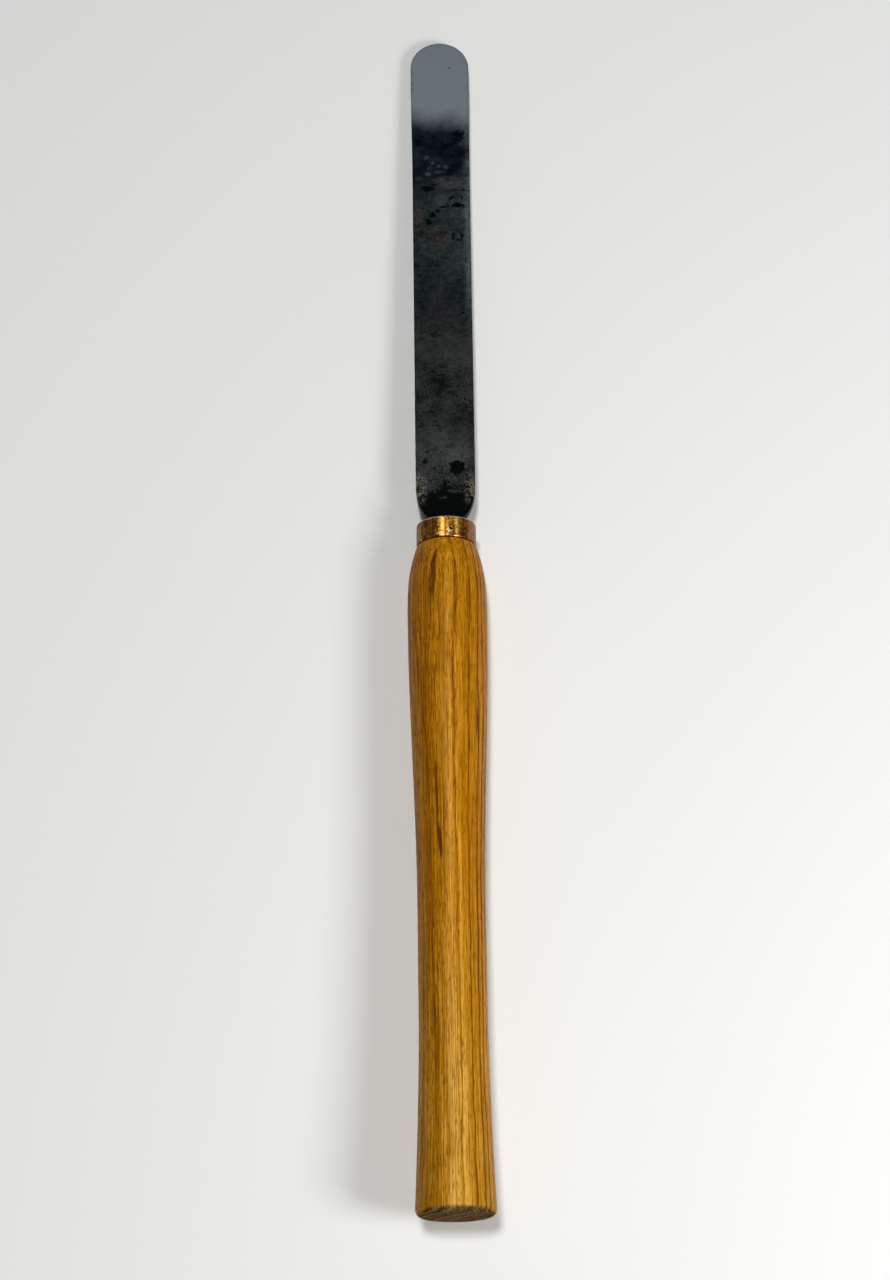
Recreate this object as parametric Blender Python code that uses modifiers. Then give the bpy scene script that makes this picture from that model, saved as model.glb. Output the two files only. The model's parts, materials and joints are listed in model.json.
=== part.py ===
"""A woodturner's round nose scraper.

A flat steel blade has its tang driven into a turned wooden handle, and a
staked ferrule keeps the mouth of the handle from splitting. The pieces are
modelled in the tool's own straight frame, with the middle of the butt at the
origin and the nose along +Y. An empty then lays the tool down as it rests on
a bench, on the nose and on the swelling of the handle.
"""

import math

import bmesh
import bpy
from mathutils import Matrix

# Blade
BLADE_REACH = 0.1850  # nose tip to the front rim of the ferrule
BLADE_THICKNESS = 0.0040
NOSE_WIDTH = 0.0205
SHANK_WIDTH = 0.0199
NOSE_FLARE_LENGTH = 0.048  # over which the nose eases down to the shank
BEVEL_RELIEF = math.radians(15)  # undercut of the bevel below the cutting edge
BEVEL_RUNOUT = 0.012  # over which the bevel fades out along the sides
SHOULDER_LENGTH = 0.0122
SHOULDER_STANDOFF = 0.0025  # bare tang between the shoulders and the ferrule
TANG_WIDTH = 0.0090
TANG_TIP_WIDTH = 0.0045
TANG_DEPTH = 0.066  # from the front rim of the ferrule to the tip of the tang

# Ferrule
FERRULE_DIAMETER = 0.0198
FERRULE_WALL = 0.0010
FERRULE_LENGTH = 0.0073
FERRULE_RIM_ROUND = 0.0004
STAKE_RADIUS = 0.0015
STAKE_DEPTH = 0.0007
STAKE_SETBACK = 0.0048  # from the front rim of the ferrule
STAKE_TURN = math.radians(8)  # from straight up towards +X

# Handle
HANDLE_LENGTH = 0.2200  # butt face to the shoulder behind the ferrule
BUTT_DIAMETER = 0.0253
WAIST_DIAMETER = 0.0217
SWELL_DIAMETER = 0.0262
BUTT_ROUND = 0.0022
BUTT_FLARE_LENGTH = 0.059
BUTT_FLARE_POWER = 1.55  # how early the flare opens towards the butt
WAIST_LENGTH = 0.036
SWELL_SETBACK = 0.024  # from the fullest part of the swelling to the shoulder
CROWN_POWER = 2.75  # how square the swelling turns down to the ferrule
NECK_STEP = 0.0001  # the ferrule stands this proud of the wood
TENON_SETBACK = 0.0004  # end of the tenon behind the front rim of the ferrule
MOUTH_DRILL_DIAMETER = 0.0075
MOUTH_DRILL_DEPTH = 0.022
PILOT_DRILL_DIAMETER = 0.0050

# Fits and facets
FIT_CLEARANCE = 0.0003
TURNED_STEPS = 48
DRILL_STEPS = 24
ARC_STEPS = 20
RIM_STEPS = 3
CURVE_STEPS = 10
MERGE_DISTANCE = 0.00001
CUT_OVERRUN = 0.002  # how far a cutter runs out past the face it enters

# Stations along the tool, from the butt face
WAIST_FRONT = BUTT_FLARE_LENGTH + WAIST_LENGTH
SWELL_STATION = HANDLE_LENGTH - SWELL_SETBACK
FERRULE_BACK = HANDLE_LENGTH + FIT_CLEARANCE
FERRULE_FRONT = FERRULE_BACK + FERRULE_LENGTH
NOSE_TIP = FERRULE_FRONT + BLADE_REACH
NOSE_CENTRE = NOSE_TIP - NOSE_WIDTH / 2
SHOULDER_END = FERRULE_FRONT + SHOULDER_STANDOFF
SHOULDER_START = SHOULDER_END + SHOULDER_LENGTH
TENON_END = FERRULE_FRONT - TENON_SETBACK
TANG_TIP = FERRULE_FRONT - TANG_DEPTH

# Radii and offsets that two pieces share
FERRULE_OUTER = FERRULE_DIAMETER / 2
FERRULE_INNER = FERRULE_OUTER - FERRULE_WALL
TENON_RADIUS = FERRULE_INNER - FIT_CLEARANCE
BEVEL_UNDERCUT = BLADE_THICKNESS * math.tan(BEVEL_RELIEF)


def ease(share):
    """Half a cosine wave, level at both ends, from 0 to 1."""
    return (1 - math.cos(math.pi * share)) / 2


def stretch(start, end, steps):
    """Evenly spaced stations from start to end, both included."""
    return [start + (end - start) * step / steps for step in range(steps + 1)]


# The handle's outline
def handle_radius(station):
    """Radius of the turned handle between the butt and the shoulder."""
    waist = WAIST_DIAMETER / 2
    swell = SWELL_DIAMETER / 2
    neck = FERRULE_OUTER - NECK_STEP
    if station < BUTT_FLARE_LENGTH:
        flare = (1 - station / BUTT_FLARE_LENGTH) ** BUTT_FLARE_POWER
        return waist + (BUTT_DIAMETER / 2 - waist) * flare
    if station < WAIST_FRONT:
        return waist
    if station < SWELL_STATION:
        share = (station - WAIST_FRONT) / (SWELL_STATION - WAIST_FRONT)
        return waist + (swell - waist) * ease(share)
    share = (station - SWELL_STATION) / SWELL_SETBACK
    return swell - (swell - neck) * share ** CROWN_POWER


def handle_outline():
    """Radius and station of each point of the handle, from the tenon to the butt."""
    stations = stretch(HANDLE_LENGTH, SWELL_STATION, CURVE_STEPS)
    stations += stretch(SWELL_STATION, WAIST_FRONT, CURVE_STEPS)[1:]
    stations += stretch(BUTT_FLARE_LENGTH, BUTT_ROUND, CURVE_STEPS)
    outline = [(0, TENON_END), (TENON_RADIUS, TENON_END), (TENON_RADIUS, HANDLE_LENGTH)]
    outline += [(handle_radius(station), station) for station in stations]
    arc_centre = handle_radius(BUTT_ROUND) - BUTT_ROUND
    for step in range(1, RIM_STEPS + 1):
        angle = math.pi / 2 * step / RIM_STEPS
        radius = arc_centre + BUTT_ROUND * math.cos(angle)
        outline.append((radius, BUTT_ROUND * (1 - math.sin(angle))))
    outline.append((0, 0))
    return outline


# The blade's outline
def blade_half_outline():
    """Half width and station of each point of the blade's +X edge, from the tip to the tang."""
    nose_radius = NOSE_WIDTH / 2
    half_shank = SHANK_WIDTH / 2
    half_tang = TANG_WIDTH / 2
    half = []
    for angle in stretch(0, math.pi / 2, ARC_STEPS):
        half.append((nose_radius * math.sin(angle), NOSE_CENTRE + nose_radius * math.cos(angle)))
    for share in stretch(0, 1, CURVE_STEPS)[1:]:
        width = nose_radius + (half_shank - nose_radius) * ease(share)
        half.append((width, NOSE_CENTRE - NOSE_FLARE_LENGTH * share))
    for angle in stretch(0, math.pi / 2, CURVE_STEPS):
        width = half_tang + (half_shank - half_tang) * math.cos(angle)
        half.append((width, SHOULDER_START - SHOULDER_LENGTH * math.sin(angle)))
    half.append((TANG_TIP_WIDTH / 2, TANG_TIP))
    return half


def tang_half_width(station):
    """Half width of the tang at a station, from the shoulders to the tip."""
    share = (SHOULDER_END - station) / (SHOULDER_END - TANG_TIP)
    return (TANG_WIDTH + (TANG_TIP_WIDTH - TANG_WIDTH) * share) / 2


# Collections, materials and objects
def clear_scene():
    for old in list(bpy.data.objects):
        bpy.data.objects.remove(old, do_unlink=True)


def new_collection(name):
    collection = bpy.data.collections.new(name)
    bpy.context.scene.collection.children.link(collection)
    return collection


def finish_material(name, colour, roughness, metallic):
    material = bpy.data.materials.new(name)
    material.use_nodes = True
    shader = material.node_tree.nodes["Principled BSDF"]
    shader.inputs["Base Color"].default_value = (*colour, 1)
    shader.inputs["Roughness"].default_value = roughness
    shader.inputs["Metallic"].default_value = metallic
    return material


def new_object(name, mesh, collection, parent):
    made = bpy.data.objects.new(name, mesh)
    collection.objects.link(made)
    made.parent = parent
    return made


def hide_cutter(cutter):
    cutter.hide_render = True
    cutter.display_type = "WIRE"


def turned_piece(name, outline, is_ring, collection, parent):
    """Turn an outline of (radius, station) pairs round the tool's long axis."""
    mesh = bpy.data.meshes.new(name)
    edges = [(index, index + 1) for index in range(len(outline) - 1)]
    if is_ring:
        edges.append((len(outline) - 1, 0))
    mesh.from_pydata([(radius, 0, station) for radius, station in outline], edges, [])
    piece = new_object(name, mesh, collection, parent)
    piece.rotation_euler = (-math.pi / 2, 0, 0)
    screw = piece.modifiers.new("turning", "SCREW")
    screw.steps = TURNED_STEPS
    screw.render_steps = TURNED_STEPS
    screw.use_merge_vertices = True
    screw.merge_threshold = MERGE_DISTANCE
    screw.use_smooth_shade = True
    return piece


def flat_bar(name, half_outline, thickness, collection, parent):
    """Cut a flat bar to an outline that is the same on both sides of the tool's axis."""
    far_side = [(-width, station) for width, station in reversed(half_outline) if width > 0]
    outline = half_outline + far_side
    curve = bpy.data.curves.new(name, "CURVE")
    curve.dimensions = "2D"
    curve.fill_mode = "BOTH"
    curve.extrude = thickness / 2
    spline = curve.splines.new("POLY")
    spline.points.add(len(outline) - 1)
    for point, (x, y) in zip(spline.points, outline):
        point.co = (x, y, 0, 1)
    spline.use_cyclic_u = True
    drawn = new_object(name + "_outline", curve, collection, parent)
    evaluated = drawn.evaluated_get(bpy.context.evaluated_depsgraph_get())
    mesh = bpy.data.meshes.new_from_object(evaluated)
    mesh.name = name
    shape = bmesh.new()
    shape.from_mesh(mesh)
    bmesh.ops.remove_doubles(shape, verts=shape.verts, dist=MERGE_DISTANCE)
    bmesh.ops.recalc_face_normals(shape, faces=shape.faces)
    shape.to_mesh(mesh)
    shape.free()
    bar = new_object(name, mesh, collection, parent)
    bar.matrix_world = evaluated.matrix_world
    bpy.data.objects.remove(drawn, do_unlink=True)
    return bar


def round_cutter(name, radius, back, front, collection, parent):
    """A drill's path along the tool's axis between two stations."""
    mesh = bpy.data.meshes.new(name)
    shape = bmesh.new()
    bmesh.ops.create_cone(
        shape, cap_ends=True, segments=DRILL_STEPS, radius1=radius, radius2=radius, depth=front - back)
    shape.to_mesh(mesh)
    shape.free()
    cutter = new_object(name, mesh, collection, parent)
    cutter.rotation_euler = (-math.pi / 2, 0, 0)
    cutter.location = (0, (back + front) / 2, 0)
    hide_cutter(cutter)
    return cutter


def punch_point(name, surface, sink, overrun, collection, parent):
    """A three-sided punch point driven towards the axis.

    Its tip lies sink below a round surface, and its base stands overrun above it.
    """
    length = sink + overrun
    middle = Matrix.Translation((0, 0, surface - sink + length / 2))
    corner_to_right = Matrix.Rotation(-math.pi / 2, 4, "Z")
    mesh = bpy.data.meshes.new(name)
    shape = bmesh.new()
    bmesh.ops.create_cone(
        shape, cap_ends=True, segments=3, radius1=0, radius2=STAKE_RADIUS * length / STAKE_DEPTH,
        depth=length, matrix=middle @ corner_to_right)
    shape.to_mesh(mesh)
    shape.free()
    punch = new_object(name, mesh, collection, parent)
    punch.rotation_euler = (0, STAKE_TURN, 0)
    punch.location = (0, FERRULE_FRONT - STAKE_SETBACK, 0)
    hide_cutter(punch)
    return punch


def cut_with(piece, cutter, operation="DIFFERENCE"):
    boolean = piece.modifiers.new(cutter.name, "BOOLEAN")
    boolean.operation = operation
    boolean.solver = "EXACT"
    boolean.object = cutter


# The three pieces
def make_blade(collection, parent):
    """The blade and its tang, one flat bar with the nose undercut to a cutting edge."""
    blade = flat_bar("blade", blade_half_outline(), BLADE_THICKNESS, collection, parent)
    for vertex in blade.data.vertices:
        behind_nose = max(0, NOSE_CENTRE - vertex.co.y)
        if vertex.co.z < 0 and behind_nose < BEVEL_RUNOUT:
            fade = 1 - behind_nose / BEVEL_RUNOUT
            shrink = 1 - fade * BEVEL_UNDERCUT / (NOSE_WIDTH / 2)
            vertex.co.x *= shrink
            if vertex.co.y > NOSE_CENTRE:
                vertex.co.y = NOSE_CENTRE + (vertex.co.y - NOSE_CENTRE) * shrink
    blade.data.materials.append(finish_material(
        "black_tool_steel", colour=(0.035, 0.037, 0.037), roughness=0.5, metallic=1))
    return blade


def make_ferrule(collection, cutters, parent):
    """The copper tube over the tenon, with rounded outer rims and a punched stake."""
    outline = []
    for step in range(RIM_STEPS + 1):
        angle = math.pi / 2 * step / RIM_STEPS
        radius = FERRULE_OUTER - FERRULE_RIM_ROUND * (1 - math.sin(angle))
        outline.append((radius, FERRULE_FRONT - FERRULE_RIM_ROUND * (1 - math.cos(angle))))
    outline += [(radius, FERRULE_BACK + FERRULE_FRONT - station) for radius, station in reversed(outline)]
    outline += [(FERRULE_INNER, FERRULE_BACK), (FERRULE_INNER, FERRULE_FRONT)]
    ferrule = turned_piece("ferrule", outline, True, collection, parent)
    root = FERRULE_WALL / 4
    nub = punch_point("stake_nub", FERRULE_INNER, STAKE_DEPTH, root, cutters, parent)
    dent = punch_point("stake_dent", FERRULE_OUTER, STAKE_DEPTH, root, cutters, parent)
    cut_with(ferrule, nub, "UNION")
    cut_with(ferrule, dent)
    ferrule.data.materials.append(finish_material(
        "worn_copper", colour=(0.42, 0.22, 0.09), roughness=0.4, metallic=1))
    return ferrule


def make_handle(collection, cutters, parent):
    """The turned handle, drilled in two steps and opened by the tang driven into it."""
    handle = turned_piece("handle", handle_outline(), False, collection, parent)
    mouth = TENON_END + CUT_OVERRUN
    mouth_back = TENON_END - MOUTH_DRILL_DEPTH
    socket_back = TANG_TIP - FIT_CLEARANCE
    mouth_drill = round_cutter(
        "mouth_drill", MOUTH_DRILL_DIAMETER / 2, mouth_back, mouth, cutters, parent)
    pilot_drill = round_cutter(
        "pilot_drill", PILOT_DRILL_DIAMETER / 2, socket_back, mouth, cutters, parent)
    socket = [
        (tang_half_width(mouth) + FIT_CLEARANCE, mouth),
        (tang_half_width(socket_back) + FIT_CLEARANCE, socket_back),
    ]
    tang_socket = flat_bar(
        "tang_socket", socket, BLADE_THICKNESS + 2 * FIT_CLEARANCE, cutters, parent)
    hide_cutter(tang_socket)
    pocket_sink = STAKE_DEPTH + 2 * FIT_CLEARANCE
    stake_pocket = punch_point(
        "stake_pocket", FERRULE_INNER, pocket_sink, FIT_CLEARANCE, cutters, parent)
    for cutter in (mouth_drill, pilot_drill, tang_socket, stake_pocket):
        cut_with(handle, cutter)
    handle.data.materials.append(finish_material(
        "oiled_ash", colour=(0.36, 0.18, 0.04), roughness=0.5, metallic=0))
    return handle


def lay_down(rest):
    """Turn the tool nose down until the nose and the fullest turned part both touch the bench."""
    half_thickness = BLADE_THICKNESS / 2
    heel = NOSE_TIP - BEVEL_UNDERCUT
    outline = handle_outline() + [(FERRULE_OUTER, FERRULE_FRONT - FERRULE_RIM_ROUND)]
    tilt = max(math.atan2(radius - half_thickness, heel - station) for radius, station in outline)
    lift = heel * math.sin(tilt) + half_thickness * math.cos(tilt)
    front = NOSE_TIP * math.cos(tilt) + half_thickness * math.sin(tilt)
    back = min(station * math.cos(tilt) - radius * math.sin(tilt) for radius, station in outline)
    rest.rotation_euler = (-tilt, 0, 0)
    rest.location = (0, -(front + back) / 2, lift)


clear_scene()
parts = new_collection("round_nose_scraper")
cutters = new_collection("round_nose_scraper_cutters")
rest_pose = new_object("rest_pose", None, parts, None)
lay_down(rest_pose)
make_blade(parts, rest_pose)
make_ferrule(parts, cutters, rest_pose)
make_handle(parts, cutters, rest_pose)
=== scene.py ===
"""The looks of a woodturner's round nose scraper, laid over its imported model. Metres, +Z up."""

import json
import math

import bmesh
import bpy
from mathutils import Matrix, Vector


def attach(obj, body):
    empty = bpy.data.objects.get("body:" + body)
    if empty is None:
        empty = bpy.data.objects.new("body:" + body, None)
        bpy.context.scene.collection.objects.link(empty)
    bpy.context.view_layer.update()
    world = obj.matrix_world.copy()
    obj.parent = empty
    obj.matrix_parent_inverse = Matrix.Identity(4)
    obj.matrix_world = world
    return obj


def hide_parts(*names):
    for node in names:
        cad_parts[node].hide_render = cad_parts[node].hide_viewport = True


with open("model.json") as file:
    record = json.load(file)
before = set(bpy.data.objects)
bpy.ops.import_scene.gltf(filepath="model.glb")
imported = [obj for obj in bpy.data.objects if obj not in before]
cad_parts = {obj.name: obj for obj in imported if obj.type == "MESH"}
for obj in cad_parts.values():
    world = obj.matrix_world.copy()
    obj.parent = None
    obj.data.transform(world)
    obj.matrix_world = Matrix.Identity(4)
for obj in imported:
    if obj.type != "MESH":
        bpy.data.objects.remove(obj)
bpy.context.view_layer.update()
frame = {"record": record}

# The handle
# One piece of ash, turned between centres to a flared butt, a slim waist and a swelling, sanded and oiled.
# Its front is cut down to a tenon for the ferrule, and drilled in two steps for the tang, whose edges open
# the hole further as it is driven in. Everything else fits on this piece, so it comes first.
HANDLE_LENGTH = 0.220
BUTT_RADIUS = 0.01265
BUTT_ROUND = 0.0022
BUTT_FLARE_LENGTH = 0.059
BUTT_FLARE_POWER = 1.55
WAIST_RADIUS = 0.01085
WAIST_FRONT = 0.095
SWELL_RADIUS = 0.0131
SWELL_STATION = 0.196
CROWN_POWER = 2.75
NECK_RADIUS = 0.0098
NECK_ROUND = 0.0003
TENON_RADIUS = 0.0086
TENON_END = 0.2272
MOUTH_DRILL_RADIUS = 0.00375
MOUTH_DRILL_BACK = TENON_END - 0.022
PILOT_DRILL_RADIUS = 0.0025
FIT_CLEARANCE = 0.0003
BLADE_THICKNESS = 0.004
TANG_HALF_WIDTH = 0.0045
TANG_TIP_HALF_WIDTH = 0.00225
TANG_ROOT = 0.2301
TANG_TIP = 0.1616
SOCKET_BACK = TANG_TIP - FIT_CLEARANCE
HANDLE_TURN_STEPS = 192
HANDLE_BODY_STEPS = 148
SOCKET_STEPS = 40
ROUND_STEPS = 8
MERGE_DISTANCE = 0.000001
SHARP_ANGLE = math.radians(35)

# The tool lies nose down. Its own frame starts at the butt, with Y to the nose and Z out of the top face.
mounts = {mount["name"]: mount for mount in frame["record"]["mounts"]}
to_nose = -Vector(mounts["butt_face"]["axis"])
out_of_top = -Vector(mounts["blade_underside"]["axis"])
lying = Matrix((to_nose.cross(out_of_top), to_nose, out_of_top)).transposed().to_4x4()
lying.translation = Vector(mounts["butt_face"]["pos_m"])


def stretch(start, end, steps):
    """Evenly spaced values from start to end, both included."""
    return [start + (end - start) * step / steps for step in range(steps + 1)]


def handle_radius(station):
    """Radius of the turned body at a station from the butt face."""
    if station < BUTT_FLARE_LENGTH:
        flare = (1 - station / BUTT_FLARE_LENGTH) ** BUTT_FLARE_POWER
        return WAIST_RADIUS + (BUTT_RADIUS - WAIST_RADIUS) * flare
    if station < WAIST_FRONT:
        return WAIST_RADIUS
    if station < SWELL_STATION:
        share = (station - WAIST_FRONT) / (SWELL_STATION - WAIST_FRONT)
        return WAIST_RADIUS + (SWELL_RADIUS - WAIST_RADIUS) * (1 - math.cos(math.pi * share)) / 2
    share = (station - SWELL_STATION) / (HANDLE_LENGTH - SWELL_STATION)
    return SWELL_RADIUS - (SWELL_RADIUS - NECK_RADIUS) * share ** CROWN_POWER


def socket_radius(angle, station):
    """Radius of the tang's hole at an angle round the axis: the drill's, or more where the tang cut in."""
    drilled = MOUTH_DRILL_RADIUS if station > MOUTH_DRILL_BACK else PILOT_DRILL_RADIUS
    share = (TANG_ROOT - station) / (TANG_ROOT - TANG_TIP)
    half_width = TANG_HALF_WIDTH + (TANG_TIP_HALF_WIDTH - TANG_HALF_WIDTH) * share + FIT_CLEARANCE
    half_thickness = BLADE_THICKNESS / 2 + FIT_CLEARANCE
    to_edge = half_width / max(abs(math.cos(angle)), MERGE_DISTANCE)
    to_face = half_thickness / max(abs(math.sin(angle)), MERGE_DISTANCE)
    return max(drilled, min(to_edge, to_face))


def turned(outline, steps, closed=False):
    """Spin an outline of (radius, station) points right round the tool's axis."""
    shape = bmesh.new()
    points = [shape.verts.new((radius, station, 0)) for radius, station in outline]
    lines = [shape.edges.new(pair) for pair in zip(points, points[1:])]
    if closed:
        lines.append(shape.edges.new((points[-1], points[0])))
    bmesh.ops.spin(
        shape, geom=points + lines, cent=(0, 0, 0), axis=(0, 1, 0), dvec=(0, 0, 0),
        angle=2 * math.pi, steps=steps, use_merge=True)
    bmesh.ops.remove_doubles(shape, verts=shape.verts, dist=MERGE_DISTANCE)
    bmesh.ops.recalc_face_normals(shape, faces=shape.faces)
    return shape


def lay_down(name, shape, finish, node):
    """Put a finished shape where the tool lies, as the piece that stands for its CAD node."""
    bmesh.ops.transform(shape, matrix=lying, verts=shape.verts)
    mesh = bpy.data.meshes.new(name)
    shape.to_mesh(mesh)
    shape.free()
    mesh.shade_smooth()
    mesh.set_sharp_from_angle(angle=SHARP_ANGLE)
    mesh.materials.append(finish)
    piece = bpy.data.objects.new(name, mesh)
    bpy.context.scene.collection.objects.link(piece)
    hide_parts(node)
    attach(piece, "root")


class Shade:
    """One value in a finish. Sums on it add Math nodes, and node() adds any other node."""

    def __init__(self, tree, socket=None):
        self.tree = tree
        self.socket = socket

    def node(self, kind, settings, sockets, output=0):
        made = self.tree.nodes.new("ShaderNode" + kind)
        for name, setting in settings.items():
            setattr(made, name, setting)
        for name, given in sockets.items():
            if isinstance(given, Shade):
                self.tree.links.new(given.socket, made.inputs[name])
            else:
                made.inputs[name].default_value = given
        return Shade(self.tree, made.outputs[output])

    def sum(self, operation, *values):
        return self.node("Math", {"operation": operation}, dict(enumerate(values)))

    def __add__(self, other):
        return self.sum("ADD", self, other)

    def __radd__(self, other):
        return self.sum("ADD", other, self)

    def __sub__(self, other):
        return self.sum("SUBTRACT", self, other)

    def __rsub__(self, other):
        return self.sum("SUBTRACT", other, self)

    def __mul__(self, other):
        return self.sum("MULTIPLY", self, other)

    def __rmul__(self, other):
        return self.sum("MULTIPLY", other, self)

    def __truediv__(self, other):
        return self.sum("DIVIDE", self, other)

    def __rtruediv__(self, other):
        return self.sum("DIVIDE", other, self)

    def __pow__(self, other):
        return self.sum("POWER", self, other)

    def __abs__(self):
        return self.sum("ABSOLUTE", self)

    def larger(self, other):
        return self.sum("MAXIMUM", self, other)

    def length_with(self, other):
        """Length of the long side of a right triangle whose short sides are this value and another."""
        return (self * self + other * other) ** 0.5

    def rise(self, start, end):
        """0 at start and 1 at end, easing at both, and level outside them."""
        return self.node(
            "MapRange", {"interpolation_type": "SMOOTHSTEP"},
            {"Value": self, "From Min": start, "From Max": end})

    def fall(self, start, end):
        """1 at start and 0 at end, easing at both, and level outside them."""
        return self.node(
            "MapRange", {"interpolation_type": "SMOOTHSTEP"},
            {"Value": self, "From Min": start, "From Max": end, "To Min": 1, "To Max": 0})

    def blend(self, low, high):
        """The colour low where this value is 0 and high where it is 1."""
        return self.node(
            "Mix", {"data_type": "RGBA", "clamp_factor": True}, {0: self, 6: low, 7: high}, output=2)

    def noise(self, size, offset, detail=2, roughness=0.5):
        """Noise round 0.5 on this place, in spots of about size, a length for each axis.

        The offset picks a stretch of the noise, so that no two patterns lie over each other.
        """
        scale = [1 / length for length in size]
        stretched = self.node(
            "VectorMath", {"operation": "MULTIPLY_ADD"}, {0: self, 1: scale, 2: offset})
        return stretched.node(
            "TexNoise", {}, {"Vector": stretched, "Scale": 1, "Detail": detail, "Roughness": roughness})

    def swing(self, reach):
        """This value of 0 to 1 as a swing round 0, of half the reach each way."""
        return (self - 0.5) * reach

    def axes(self):
        return [self.node("SeparateXYZ", {}, {0: self}, output=axis) for axis in range(3)]


# The finishes measure in millimetres
MILLIMETRES = 1000


def new_finish(name):
    """A material, its shader, and the place on the tool: right, from the butt, and up from the axis."""
    finish = bpy.data.materials.new(name)
    finish.use_nodes = True
    standing = lying.inverted()
    start = Shade(finish.node_tree)
    world_place = start.node("TexCoord", {}, {}, output="Object")
    place = start.node("Mapping", {"vector_type": "POINT"}, {
        "Vector": world_place,
        "Location": standing.translation * MILLIMETRES,
        "Rotation": standing.to_euler(),
        "Scale": (MILLIMETRES, MILLIMETRES, MILLIMETRES)})
    return finish, finish.node_tree.nodes["Principled BSDF"], place


def plug_in(shader, **values):
    """Set a shader's sockets, whose names are written with underscores, to values or links."""
    for name, given in values.items():
        socket = shader.inputs[name.replace("_", " ")]
        if isinstance(given, Shade):
            given.tree.links.new(given.socket, socket)
        else:
            socket.default_value = given


# Growth rings run round a pith outside the handle, low on its right, so they lie flat to the upper left
# side. Each ring starts with a dark line of open pores, the rings along the top are paler, and a few marks
# of bark lie on them. The grain follows the flare of the butt, and the turning cuts across it in front.
GRAIN_RADIUS = 11.5
GRAIN_CUT_BACK = 0.1
GRAIN_CUT_FRONT = 0.9
GRAIN_CUT_STATIONS = (140, 205)
PITH_RIGHT = 33
PITH_BELOW = 23
RING_WANDER = 4
RING_RIPPLE = 1.3
RING_STARTS = (29.5, 31.5, 34.2, 36.6, 38.8, 42.2, 46.2)
PORE_LINE_RISE = (-0.25, 0.05)
PORE_LINE_FALL = (0.1, 0.9)
PALE_RINGS_RISE = (43.9, 45.5)
PALE_RINGS_FALL = (47.9, 49.7)
FLAT_RINGS = (48.6, 50.0)
DARK_RINGS = (50.0, 51.3)
FIGURED_RINGS = (44.5, 47)
LINED_RINGS_RISE = (46.5, 48.5)
LINED_RINGS_FALL = (51, 51.8)
LINED_STATIONS = (60, 170)
# The tone goes from 0 in dark wood to 1 in pale wood
PLAIN_TONE = 0.48
PALE_RINGS_GAIN = 0.35
WAIST_STATIONS = (20, 135)
WAIST_GAIN_LOSS = 0.2
FRONT_STATIONS = (160, 205)
FRONT_GAIN_LOSS = 0.06
SHADED_STATIONS = (50, 100)
SHADED_RINGS = (49.5, 51)
SHADED_LOSS = 0.05
DARK_RINGS_LOSS = 0.14
DARK_RINGS_STATIONS = (70, 200)
DARK_RINGS_FRONT_LOSS = 0.05
SPRING_WOOD_LOSS = 0.17
SPRING_WOOD_MOTTLE = 0.36
DARK_TONES = (-0.1, 0.5)
PALE_TONES = (0.35, 1.05)
PORE_DEPTH = 0.8
WARM_STATIONS = (30, 110)
DARK_ASH = (0.115, 0.026, 0.0, 1)
MIDDLE_ASH = (0.42, 0.178, 0.001, 1)
PALE_ASH = (0.80, 0.42, 0.070, 1)
PORE_BROWN = (0.16, 0.045, 0.0, 1)
NO_TINT = (1, 1, 1, 1)
WARM_TINT = (1.0, 0.905, 0.45, 1)
BARK_BROWN = (0.085, 0.021, 0.002, 1)
BARK_RAGGEDNESS = 1.6
BARK_EDGE = (0.6, 1.2)
BARK_HEIGHTS = (0, 2)
# Right of the axis, from the butt, half width, half length, sideways lean, depth of colour
BARK_STREAKS = [
    (-4.1, 212.0, 0.8, 3.8, 0.15, 0.95),
    (-4.6, 204.5, 1.1, 9.0, 0.05, 0.85),
    (-4.3, 133.0, 0.45, 12.0, 0.0, 0.8),
    (-3.6, 116.5, 0.9, 6.5, -0.06, 0.9),
    (8.5, 156.0, 0.4, 6.5, 0.0, 0.6),
]
END_GRAIN_DARK = (0.022, 0.010, 0.001, 1)
END_GRAIN_PALE = (0.19, 0.115, 0.045, 1)
END_GRAIN_DEPTH = 0.92
END_LINES_SHARE = 0.65
END_TONES = (0.42, 0.64)
BUTT_EDGE = (0.9, 2.3)
SANDED_HIGHLIGHT_LEFT = (-11.5, -8)
SANDED_HIGHLIGHT_LEFT_DEPTH = 1.1
SANDED_HIGHLIGHT_RIGHT = (9, 12)
SANDED_HIGHLIGHT_RIGHT_DEPTH = 0.8
OILED_ROUGHNESS = 0.36
PORE_ROUGHNESS = 0.25
BUTT_ROUGHNESS = 0.6
OILED_SPECULAR = 0.06
ASH_BUMP = 0.2
BUMP_DEPTH = 0.0001

oiled_ash, ash_shader, place = new_finish("oiled_ash")
right, station, height = place.axes()
from_axis = right.length_with(height)
cut_across = GRAIN_CUT_BACK + station.rise(*GRAIN_CUT_STATIONS) * (GRAIN_CUT_FRONT - GRAIN_CUT_BACK)
spread = (GRAIN_RADIUS + (from_axis - GRAIN_RADIUS) * cut_across) / from_axis
grain_right = right * spread
grain_up = height * spread
grain = place.node("CombineXYZ", {}, {0: grain_right, 1: station, 2: grain_up})
wander = grain.noise((22, 85, 22), (3.1, 0.4, 7.7))
ripple = grain.noise((2.0, 13, 2.0), (0.7, 2.2, 5.1))
mottle = grain.noise((2.5, 55, 2.5), (2.4, 6.2, 1.5))
streaks = grain.noise((0.65, 95, 0.65), (9.4, 1.2, 2.5), detail=3, roughness=0.65)
fibres = grain.noise((0.42, 15, 0.42), (4.4, 8.1, 0.9), detail=2, roughness=0.6)
fine_lines = grain.noise((0.3, 55, 0.3), (1.1, 5.8, 3.9), detail=2, roughness=0.6)
open_pores = grain.noise((0.36, 3.4, 0.36), (6.3, 3.3, 1.8), detail=1).rise(0.53, 0.64)


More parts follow.
